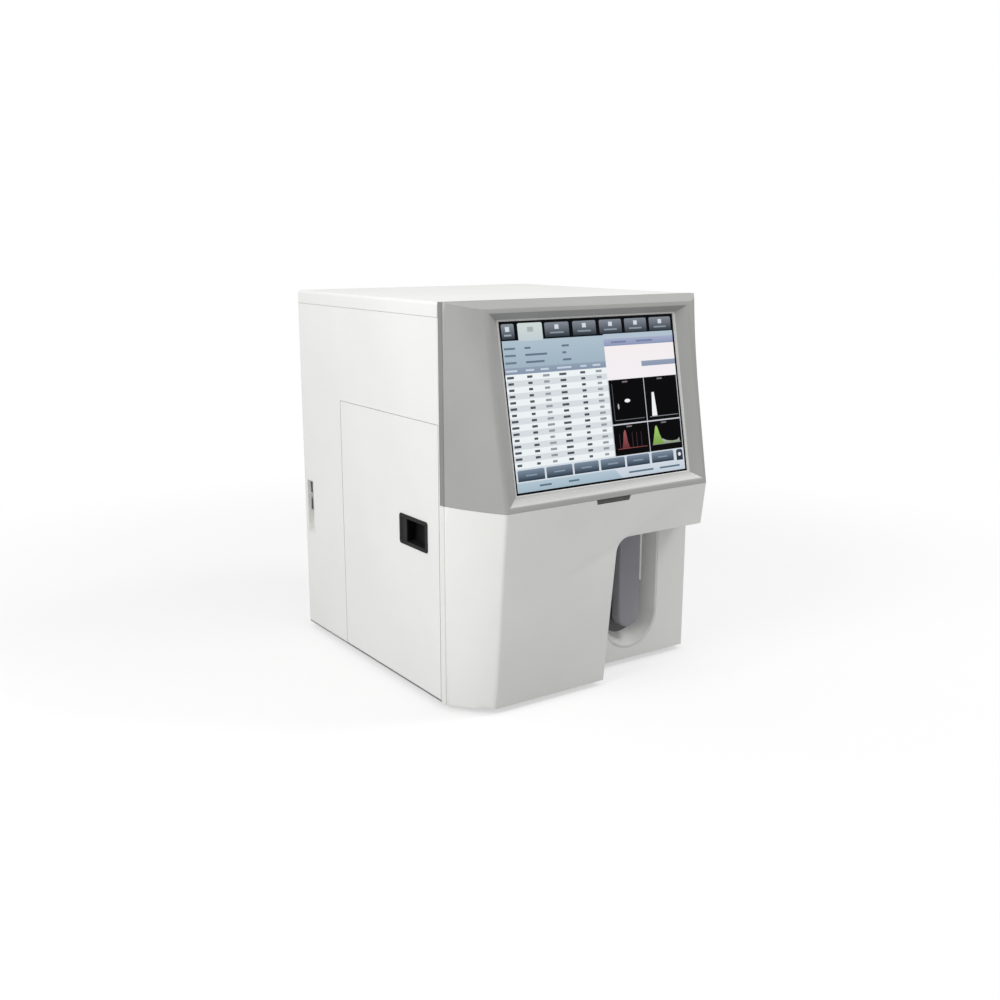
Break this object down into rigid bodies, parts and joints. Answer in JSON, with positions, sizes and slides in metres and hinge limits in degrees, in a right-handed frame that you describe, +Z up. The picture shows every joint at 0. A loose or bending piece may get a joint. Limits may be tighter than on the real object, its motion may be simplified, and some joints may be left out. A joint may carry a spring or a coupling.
{
  "type": "hematology analyzer",
  "caption": "Bench blood-cell analyser with a tilted touch display, an open-tube sampling bay with a powered probe, and a hinged left door over its fluidics.",
  "frame": {"origin": "centre of the footprint, on the surface that the feet stand on", "axes": "+Z up, +Y from the operator's side to the rear, +X to the operator's right"},
  "size_m": [0.3164, 0.3838, 0.3975],
  "materials": {
    "cabinet_white": "fine-textured white powder coat",
    "moulding_white": "fine spark-eroded texture, off-white",
    "bezel_grey": "fine-textured mid grey",
    "screen_glass": "polished cover glass over a lit picture",
    "dark_plastic": "satin dark grey",
    "black_plastic": "fine-textured black",
    "well_grey": "satin light grey",
    "zinc_steel": "zinc-plated sheet",
    "stainless": "drawn and ground stainless steel",
    "aluminium": "clear-anodised machined aluminium",
    "clear_acrylic": "polished clear acrylic",
    "board_green": "solder-masked laminate",
    "rubber_black": "soft matt rubber",
    "belt_rubber": "moulded neoprene",
    "indicator_lens": "smoked diffusing lens",
    "port_plastic": "natural nylon"
  },
  "bodies": {
    "root": {"base_pan": "zinc_steel", "rubber_feet": "rubber_black", "left_side_panel": "cabinet_white", "right_side_panel": "cabinet_white", "rear_panel": "cabinet_white", "top_cover": "cabinet_white", "front_frame": "cabinet_white", "partition_wall": "zinc_steel", "panel_screws": "stainless", "front_bezel": "bezel_grey", "lower_front_cover": "moulding_white", "status_indicator": "indicator_lens", "touch_glass": "screen_glass", "display_gasket": "rubber_black", "display_panel": "zinc_steel", "display_bracket": "zinc_steel", "sampling_well": "well_grey", "key_spring": "stainless", "key_switch": "black_plastic", "lift_bracket": "aluminium", "probe_guide_rods": "stainless", "probe_wiper": "clear_acrylic", "lift_belt": "belt_rubber", "lift_motor": "black_plastic", "door_pins": "stainless", "door_catch": "black_plastic", "interface_pocket": "well_grey", "usb_sockets": "stainless", "power_inlet": "black_plastic", "fan_frame": "black_plastic", "fan_guard": "stainless", "reagent_ports": "port_plastic", "syringe_bracket": "aluminium", "syringe_motor": "black_plastic", "syringe_guides": "stainless", "syringe_barrels": "clear_acrylic", "syringe_head": "clear_acrylic", "counting_baths": "clear_acrylic", "valve_manifold": "clear_acrylic", "solenoid_valves": "black_plastic", "pump_housing": "dark_plastic", "pump_motor": "zinc_steel", "waste_chamber": "clear_acrylic", "main_board": "board_green", "power_supply": "zinc_steel", "optical_bench": "aluminium", "optics_modules": "black_plastic"},
    "door": {"side_door": "cabinet_white", "door_handle": "black_plastic"},
    "aspirate_key": {"aspirate_key": "dark_plastic"},
    "probe_carriage": {"probe_carriage": "aluminium", "sample_probe": "stainless"},
    "drive_pulley": {"drive_pulley": "aluminium"},
    "idler_pulley": {"idler_pulley": "aluminium"},
    "syringe_carriage": {"syringe_carriage": "aluminium", "syringe_plungers": "stainless"},
    "lead_screw": {"lead_screw": "stainless"},
    "pump_rotor": {"pump_rotor": "port_plastic"},
    "fan_rotor": {"fan_rotor": "black_plastic"},
    "power_rocker": {"power_rocker": "black_plastic"}
  },
  "joints": [
    {"name": "door_hinge", "type": "hinge", "parent": "root", "child": "door", "pos_m": [-0.151, 0.06995, 0.145], "axis": [0, 0, -1], "range_deg": [0, 110]},
    {"name": "aspirate_key_press", "type": "slide", "parent": "root", "child": "aspirate_key", "axis": [0, 1, 0], "range_m": [0, 0.003], "stiffness_N_per_m": 300, "deforming": ["key_spring"]},
    {"name": "probe_lift", "type": "slide", "parent": "root", "child": "probe_carriage", "axis": [0, 0, 1], "range_m": [0, 0.06]},
    {"name": "drive_pulley_spin", "type": "hinge", "parent": "root", "child": "drive_pulley", "pos_m": [0.1035, -0.11155, 0.28802], "axis": [0, 1, 0], "range_deg": [0, 580]},
    {"name": "idler_pulley_spin", "type": "hinge", "parent": "root", "child": "idler_pulley", "pos_m": [0.1035, -0.11155, 0.17802], "axis": [0, 1, 0], "range_deg": [0, 580]},
    {"name": "syringe_draw", "type": "slide", "parent": "root", "child": "syringe_carriage", "axis": [0, 0, -1], "range_m": [0, 0.04]},
    {"name": "lead_screw_turn", "type": "hinge", "parent": "root", "child": "lead_screw", "pos_m": [-0.072, -0.07405, 0.096], "axis": [0, 0, 1], "range_deg": [0, 1445]},
    {"name": "pump_spin", "type": "hinge", "parent": "root", "child": "pump_rotor", "pos_m": [-0.095, 0.02595, 0.066], "axis": [1, 0, 0], "continuous": true},
    {"name": "fan_spin", "type": "hinge", "parent": "root", "child": "fan_rotor", "pos_m": [0.095, 0.16595, 0.306], "axis": [0, 1, 0], "continuous": true},
    {"name": "power_rocker_tilt", "type": "hinge", "parent": "root", "child": "power_rocker", "pos_m": [0.115, 0.17595, 0.119], "axis": [1, 0, 0], "range_deg": [0, 24]}
  ],
  "couplings": [
    {"joint": "drive_pulley_spin", "follows": "probe_lift", "rad_per_m": 166.67},
    {"joint": "idler_pulley_spin", "follows": "probe_lift", "rad_per_m": 166.67},
    {"joint": "lead_screw_turn", "follows": "syringe_draw", "rad_per_m": 628.32}
  ]
}
